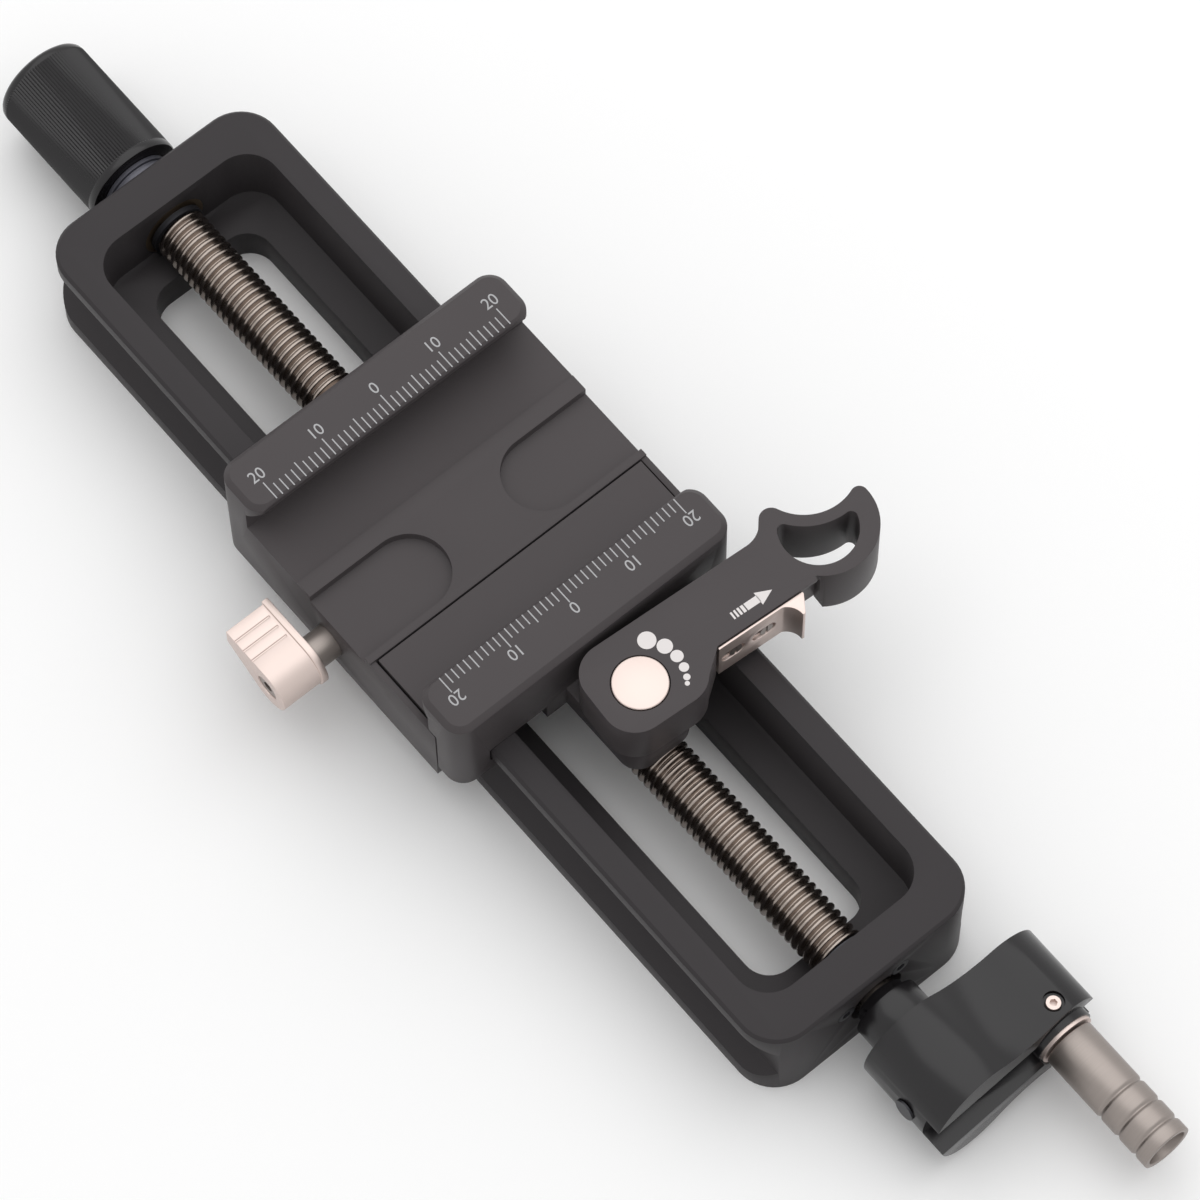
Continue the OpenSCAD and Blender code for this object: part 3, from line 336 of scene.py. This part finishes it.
def metal(name, group, tone, roughness, metallic, bump, density=None, change=None, specular=0.5):
    """A Principled material that one of the surface groups feeds."""
    material = bpy.data.materials.new(name)
    material.use_nodes = True
    tree = material.node_tree
    shader = tree.nodes["Principled BSDF"]
    surface = add(tree, "ShaderNodeGroup", node_tree=group)
    surface.inputs["Tone"].default_value = (*tone, 1)
    surface.inputs["Roughness"].default_value = roughness
    if density is not None:
        surface.inputs[0].default_value = density
    if change is not None:
        surface.inputs["Tone Change"].default_value = change
    relief = add(tree, "ShaderNodeBump", inputs={"Strength": bump, "Distance": 0.02 * MM})
    shader.inputs["Metallic"].default_value = metallic
    shader.inputs["Specular IOR Level"].default_value = specular
    link = tree.links.new
    link(surface.outputs["Color"], shader.inputs["Base Color"])
    link(surface.outputs["Roughness"], shader.inputs["Roughness"])
    link(surface.outputs["Height"], relief.inputs["Height"])
    link(relief.outputs["Normal"], shader.inputs["Normal"])
    return material


BLASTED = blasted_surface()
TURNED = turned_surface()

# Name, surface, tone, roughness, metallic share, bump, then what differs from the defaults.
ANODISED = metal(
    "black_anodised", BLASTED, (0.042, 0.038, 0.04), 0.45, 0.0, 0.25, specular=0.15
)
# Painted light: the clamp pieces' anodising is a lighter copy of the frame's, for the light on
# their tops.
ANODISED_PAINTED_LIT = metal(
    "clamp_anodised_painted_lit", BLASTED, (0.07, 0.062, 0.064), 0.45, 0.0, 0.25, specular=0.2
)
ANODISED_DEEP = metal(
    "deep_black_anodised", BLASTED, (0.01, 0.009, 0.01), 0.24, 0.0, 0.2, specular=0.4
)
ANODISED_GREY = metal("grey_anodised", BLASTED, (0.1, 0.1, 0.12), 0.35, 0.5, 0.15)
SATIN_STEEL = metal("satin_steel", TURNED, (0.3, 0.265, 0.245), 0.42, 1.0, 0.3)
SCREW_STEEL = metal("screw_steel", TURNED, (0.32, 0.275, 0.245), 0.25, 1.0, 0.3)
BRIGHT_STEEL = metal(
    "bright_steel", BLASTED, (0.64, 0.54, 0.5), 0.45, 1.0, 0.3, density=7000.0, change=0.05
)
DARK_STEEL = metal("blackened_steel", BLASTED, (0.04, 0.04, 0.045), 0.4, 0.6, 0.2)
# Painted shade: the bronze is toned dark, for the shade that the thrust washers sit in.
BRONZE_PAINTED_SHADE = metal("bearing_bronze_painted_shade", TURNED, (0.2, 0.15, 0.1), 0.45, 1.0, 0.3)
SPRING_STEEL = metal("spring_steel", TURNED, (0.6, 0.6, 0.6), 0.25, 1.0, 0.1)
PRINT_WHITE = metal(
    "white_print", BLASTED, (0.78, 0.74, 0.73), 0.55, 0.0, 0.1, density=5000.0, change=0.1
)
PRINT_GREY = metal(
    "grey_print", BLASTED, (0.42, 0.42, 0.43), 0.55, 0.0, 0.1, density=5000.0, change=0.2
)

FINISHES = {
    "anodised_black": ANODISED,
    "anodised_grey": ANODISED_GREY,
    "satin_steel": SATIN_STEEL,
    "bright_steel": BRIGHT_STEEL,
    "dark_steel": DARK_STEEL,
    "bronze": BRONZE_PAINTED_SHADE,
    "spring_steel": SPRING_STEEL,
}


def finish_cad_nodes():
    """Every CAD piece takes the material of its slot in the record."""
    for part in frame["record"]["subparts"]:
        mesh = frame["nodes"][part["node"]].data
        material = FINISHES[part["material_slot"]]
        if mesh.materials:
            for i in range(len(mesh.materials)):
                mesh.materials[i] = material
        else:
            mesh.materials.append(material)


# ---------------------------------------------------------------- rounded CAD pieces


def round_over_cad_pieces():
    """The machined pieces get the small broken edges that the real ones have."""
    black, bright = "anodised_black", "bright_steel"
    softened("rail_frame", "frame_body", 0.25 * MM, ANODISED, black, "rail")
    softened("carriage_body", "carriage_casting", 0.2 * MM, ANODISED_PAINTED_LIT, black, "carriage")
    softened("moving_jaw", "front_jaw", 0.2 * MM, ANODISED_PAINTED_LIT, black, "jaw")
    softened("clamp_lever", "lever_body", 0.35 * MM, ANODISED_PAINTED_LIT, black, "lever", segments=3)
    softened("crank_arm", "crank_body", 0.3 * MM, ANODISED_DEEP, black, "screw")
    softened("front_collar", "front_ring", 0.25 * MM, ANODISED_DEEP, black, "screw")
    softened("lock_knob", "thumb_knob", 0.3 * MM, BRIGHT_STEEL, bright, "lock")
    softened("pivot_cap", "lever_cap", 0.2 * MM, BRIGHT_STEEL, bright, "lever")
    softened("crank_grip", "grip_sleeve", 0.14 * MM, SATIN_STEEL, "satin_steel", "grip")
    softened("lock_tab", "tab_plate", 0.12 * MM, BRIGHT_STEEL, bright, "tab")


# ---------------------------------------------------------------- new pieces


def profile_mesh(name, points):
    """An open chain of vertices, given as (x, radius) pairs above the screw's axis."""
    mesh = bpy.data.meshes.new(name)
    chain = [(i, i + 1) for i in range(len(points) - 1)]
    mesh.from_pydata([(x, 0.0, r) for x, r in points], chain, [])
    return new_object(name, mesh)


def lathe(name, points, steps):
    """A turned piece: the profile is spun round X. It has no wall along its bore."""
    obj = profile_mesh(name, points)
    start_edit(obj)
    bpy.ops.mesh.spin(
        steps=steps, angle=2 * math.pi, center=(0, 0, 0), axis=(1, 0, 0), dupli=False
    )
    bpy.ops.mesh.select_all(action="SELECT")
    bpy.ops.mesh.remove_doubles(threshold=WELD_TIGHT)
    bpy.ops.mesh.normals_make_consistent(inside=False)
    end_edit()
    return obj


def put_on_axis(obj):
    """Lifts a piece that was turned round X to the screw's axis."""
    obj.location = SCREW_AXIS
    settle(obj)


def threaded_screw():
    """The lead screw with its real right-hand thread, cut flush at both ends."""
    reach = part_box("thrust_washers")[1].x - WASHER_T
    turns = math.ceil(2 * reach / PITCH) + SPARE_TURNS
    start = -turns * PITCH / 2
    height = CREST_R - ROOT_R
    obj = profile_mesh(
        "lead_screw_thread",
        [(start + along * PITCH, ROOT_R + up * height) for along, up in THREAD_SHAPE],
    )
    make_active(obj)
    turn = obj.modifiers.new("thread", "SCREW")
    turn.axis = "X"
    turn.angle = 2 * math.pi
    turn.screw_offset = PITCH
    turn.iterations = turns - 1
    turn.steps = turn.render_steps = THREAD_STEPS
    turn.use_merge_vertices = True
    turn.merge_threshold = WELD_WIDE
    bpy.ops.object.modifier_apply(modifier=turn.name)
    for side in (-1, 1):
        start_edit(obj)
        bpy.ops.mesh.bisect(
            plane_co=(side * reach, 0, 0), plane_no=(side, 0, 0), clear_outer=True, use_fill=True
        )
        end_edit()
    start_edit(obj)
    bpy.ops.mesh.remove_doubles(threshold=WELD_TIGHT)
    bpy.ops.mesh.normals_make_consistent(inside=False)
    end_edit()
    put_on_axis(obj)
    smooth(obj, angle=50)
    finish_piece(obj, SCREW_STEEL, "satin_steel", "screw", "lead_screw")


def screw_journals():
    """The plain shaft through the thread, with a broken edge at each end."""
    low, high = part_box("lead_screw")
    points = [
        (low.x, 0), (low.x, JOURNAL_R - JOURNAL_EDGE), (low.x + JOURNAL_EDGE, JOURNAL_R),
        (high.x - JOURNAL_EDGE, JOURNAL_R), (high.x, JOURNAL_R - JOURNAL_EDGE), (high.x, 0),
    ]
    obj = lathe("lead_screw_journals", points, JOURNAL_STEPS)
    put_on_axis(obj)
    smooth(obj)
    finish_piece(obj, SCREW_STEEL, "satin_steel", "screw")


def knurled_knob():
    """The rear knob: fine straight knurl between two plain edges, rounded far end."""
    low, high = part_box("fine_knob")
    r = (high.z - low.z) / 2
    far, near = low.x, high.x
    points = [(far, 0.0), (far, KNOB_FACE_INNER_R), (far, r - KNOB_FACE_BELOW_RIM)]
    for i in range(KNOB_ROUNDING_STEPS, -1, -1):
        a = math.radians(90 * i / KNOB_ROUNDING_STEPS)
        points.append((
            far + KNOB_ROUNDING * (1 - math.sin(a)),
            r - KNOB_ROUNDING + KNOB_ROUNDING * math.cos(a),
        ))
    points += [(far + inward, r) for inward in KNOB_FAR_ROWS]
    points += [(near - inward, r - below) for inward, below in KNOB_NEAR_ROWS]
    points.append((near, JOURNAL_R))
    obj = lathe("fine_focus_knob", points, 2 * KNURL_TEETH)

    def in_valley(place):
        """Every other row of vertices on the knurled part of the rim."""
        on_knurl = far + KNURL_FAR_MARGIN < place.x < near - KNURL_NEAR_MARGIN
        if not on_knurl or math.hypot(place.y, place.z) < r - RIM_TOLERANCE:
            return False
        column = round(math.atan2(place.y, place.z) / (math.pi / KNURL_TEETH))
        return column % 2 == 0

    select_vertices(obj, in_valley)
    shrink = (r - KNURL_DEPTH) / r
    bpy.ops.transform.resize(value=(1, shrink, shrink), center_override=(0, 0, 0))
    end_edit()
    put_on_axis(obj)
    smooth(obj, angle=40)
    finish_piece(obj, ANODISED_DEEP, "anodised_black", "screw", "fine_knob")


def rear_ring():
    """The collar between knob and frame, with a groove turned round its middle."""
    low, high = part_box("rear_collar")
    r = (high.z - low.z) / 2
    middle = low.x + RING_GROOVE_PLACE
    inner, outer = RING_GROOVE - RING_EDGE, RING_GROOVE
    points = [
        (low.x, JOURNAL_R), (low.x, r - RING_EDGE), (low.x + RING_EDGE, r), (middle - outer, r),
        (middle - inner, r - RING_GROOVE), (middle + inner, r - RING_GROOVE), (middle + outer, r),
        (high.x - RING_EDGE, r), (high.x, r - RING_EDGE), (high.x, JOURNAL_R),
    ]
    obj = lathe("rear_ring", points, RING_STEPS)
    put_on_axis(obj)
    smooth(obj, angle=30)
    finish_piece(obj, ANODISED_GREY, "anodised_grey", "screw", "rear_collar")


# ---------------------------------------------------------------- printed marks


def start_marks(name):
    """An empty mesh object, open in edit mode."""
    obj = new_object(name, bpy.data.meshes.new(name))
    make_active(obj)
    bpy.ops.object.mode_set(mode="EDIT")
    return obj


def add_plate(x0, x1, y0, y1, z):
    """Adds one thin flat mark to the mesh that is being edited."""
    bpy.ops.mesh.select_all(action="DESELECT")
    middle = ((x0 + x1) / 2, (y0 + y1) / 2, z)
    bpy.ops.mesh.primitive_plane_add(size=1, location=middle)
    bpy.ops.transform.resize(value=(x1 - x0, y1 - y0, 1), center_override=middle)


def add_round(vertices, radius, place):
    """Adds one flat polygon to the mesh that is being edited."""
    bpy.ops.mesh.select_all(action="DESELECT")
    bpy.ops.mesh.primitive_circle_add(
        vertices=vertices, radius=radius, fill_type="NGON", location=place
    )


def end_marks():
    """Gives the flat marks their depth and closes edit mode."""
    bpy.ops.mesh.select_all(action="SELECT")
    bpy.ops.mesh.extrude_region_move(
        TRANSFORM_OT_translate={"value": (0, 0, -MARK_LIFT - MARK_DEPTH)}
    )
    bpy.ops.mesh.select_all(action="SELECT")
    bpy.ops.mesh.normals_make_consistent(inside=False)
    end_edit()


def scale_ticks(name, inner_x, outward, lengths, body):
    """One jaw's row of 41 ticks, 1 mm apart, longer at each 5 and 10."""
    short, medium, long = lengths
    obj = start_marks(name)
    for i in range(-TICKS_EACH_SIDE, TICKS_EACH_SIDE + 1):
        length = long if i % 10 == 0 else medium if i % 5 == 0 else short
        x0, x1 = sorted((inner_x, inner_x + outward * length))
        add_plate(x0, x1, i * MM - HALF_TICK, i * MM + HALF_TICK, JAW_TOP + MARK_LIFT)
    end_marks()
    settle(obj)
    finish_piece(obj, PRINT_GREY, "anodised_black", body)


def numeral(value, x, turn):
    """One scale number as a thin mesh, its top towards -X before it is turned."""
    curve = bpy.data.curves.new("scale_number", "FONT")
    curve.body = str(abs(value))
    curve.align_x = "CENTER"
    curve.align_y = "CENTER"
    curve.size = NUMBER_HEIGHT / DIGIT_SHARE
    curve.extrude = MARK_DEPTH
    curve.resolution_u = 4
    make_active(new_object("scale_number", curve))
    bpy.ops.object.convert(target="MESH")
    obj = bpy.context.object
    obj.scale = (DIGIT_WIDTH, 1, 1)
    obj.rotation_euler = (0, 0, math.radians(90) + turn)
    obj.location = (x, value * MM, JAW_TOP + MARK_LIFT - MARK_DEPTH)
    settle(obj)
    return obj


def scale_numbers(name, x, turn, body):
    """One jaw's five numbers, joined into one piece."""
    numbers = [numeral(value, x, turn) for value in SCALE_VALUES]
    deselect()
    for obj in numbers:
        obj.select_set(True)
    bpy.context.view_layer.objects.active = numbers[0]
    bpy.ops.object.join()
    whole = bpy.context.object
    whole.name = name
    finish_piece(whole, PRINT_GREY, "anodised_black", body)


def jaw_scales():
    """Both printed scales: 20 10 0 10 20, the front one read from the other side."""
    scale_ticks("rear_scale_ticks", REAR_JAW_INNER - REAR_TICK_GAP, -1, REAR_TICKS, "carriage")
    scale_ticks("front_scale_ticks", FRONT_JAW_INNER + FRONT_TICK_GAP, 1, FRONT_TICKS, "jaw")
    scale_numbers("rear_scale_numbers", REAR_NUMBERS_X, 0, "carriage")
    scale_numbers("front_scale_numbers", FRONT_NUMBERS_X, math.pi, "jaw")


def lever_marks():
    """The white arrow and the arc of shrinking dots, printed on the lever's top."""
    height = LEVER_TOP + MARK_LIFT
    obj = start_marks("lever_marks")
    for angle, radius in DOTS:
        a = math.radians(angle)
        add_round(DOT_SIDES, radius * MM, (DOT_ARC * math.cos(a), DOT_ARC * math.sin(a), height))
    for low, high in ARROW_BARS:
        left, right = ARROW_MIDDLE - ARROW_HALF, ARROW_MIDDLE + ARROW_HALF
        add_plate(left, right, low * MM, high * MM, height)
    head = (ARROW_MIDDLE, ARROW_HEAD_Y, height)
    add_round(3, ARROW_HEAD_R, head)
    bpy.ops.transform.resize(value=ARROW_HEAD_STRETCH, center_override=head)
    end_marks()
    obj.rotation_euler = (0, 0, LEVER_ANGLE)
    obj.location = PIVOT
    settle(obj)
    finish_piece(obj, PRINT_WHITE, "anodised_black", "lever")


# ---------------------------------------------------------------- light, floor and camera


def seen_as_white(tree):
    """One for the rays that show the background: straight, mirrored or through glass."""
    rays = add(tree, "ShaderNodeLightPath")
    mirrored = add(tree, "ShaderNodeMath", operation="MAXIMUM")
    tree.links.new(rays.outputs["Is Camera Ray"], mirrored.inputs[0])
    tree.links.new(rays.outputs["Is Glossy Ray"], mirrored.inputs[1])
    through = add(tree, "ShaderNodeMath", operation="MAXIMUM")
    tree.links.new(mirrored.outputs[0], through.inputs[0])
    tree.links.new(rays.outputs["Is Transmission Ray"], through.inputs[1])
    return through.outputs[0]


def set_world():
    """A plain grey studio, which the camera and the reflections see as white."""
    world = bpy.data.worlds.new("studio")
    bpy.context.scene.world = world
    world.use_nodes = True
    tree = world.node_tree
    back = tree.nodes["Background"]
    back.inputs["Color"].default_value = (1, 1, 1, 1)
    shades = {"To Min": WORLD_LIGHT, "To Max": SEEN_WHITE}
    strength = add(tree, "ShaderNodeMapRange", inputs=shades)
    tree.links.new(seen_as_white(tree), strength.inputs["Value"])
    tree.links.new(strength.outputs["Result"], back.inputs["Strength"])


def set_key_light():
    """One large soft lamp above the rail, aimed at its middle."""
    data = bpy.data.lights.new("key_softbox", "AREA")
    data.shape = "RECTANGLE"
    data.size, data.size_y = KEY_SIZE
    data.energy = KEY_POWER
    lamp = new_object("key_softbox", data)
    lamp.location = KEY_PLACE
    lamp.rotation_euler = (-Vector(KEY_PLACE)).to_track_quat("-Z", "Y").to_euler()


def set_floor():
    """A sheet under the rail that the camera sees as white, but for the rail's shadow."""
    deselect()
    bpy.ops.mesh.primitive_plane_add(size=FLOOR_SIZE, location=(0, 0, 0))
    floor = bpy.context.object
    floor.name = "studio_floor"
    material = bpy.data.materials.new("white_sheet")
    material.use_nodes = True
    tree = material.node_tree
    shader = tree.nodes["Principled BSDF"]
    shader.inputs["Roughness"].default_value = 0.8
    shades = {"To Min": FLOOR_LIGHT, "To Max": SEEN_WHITE}
    tone = add(tree, "ShaderNodeMapRange", inputs=shades)
    tree.links.new(seen_as_white(tree), tone.inputs["Value"])
    tree.links.new(tone.outputs["Result"], shader.inputs["Base Color"])
    floor.data.materials.append(material)


def set_camera():
    """Where the photograph was taken from."""
    right, back = Vector(CAMERA_RIGHT), Vector(CAMERA_BACK)
    up = back.cross(right)
    data = bpy.data.cameras.new("camera")
    data.lens = CAMERA_LENS
    data.sensor_width = CAMERA_SENSOR
    data.clip_start, data.clip_end = 0.01, 10
    camera = new_object("camera", data)
    turn = Matrix((right, up, back)).transposed().to_4x4()
    camera.matrix_world = Matrix.Translation(CAMERA_PLACE) @ turn
    bpy.context.scene.camera = camera
    bpy.context.scene.view_settings.view_transform = "Standard"


set_camera()
set_world()
set_key_light()
set_floor()
finish_cad_nodes()
round_over_cad_pieces()
threaded_screw()
screw_journals()
knurled_knob()
rear_ring()
jaw_scales()
lever_marks()
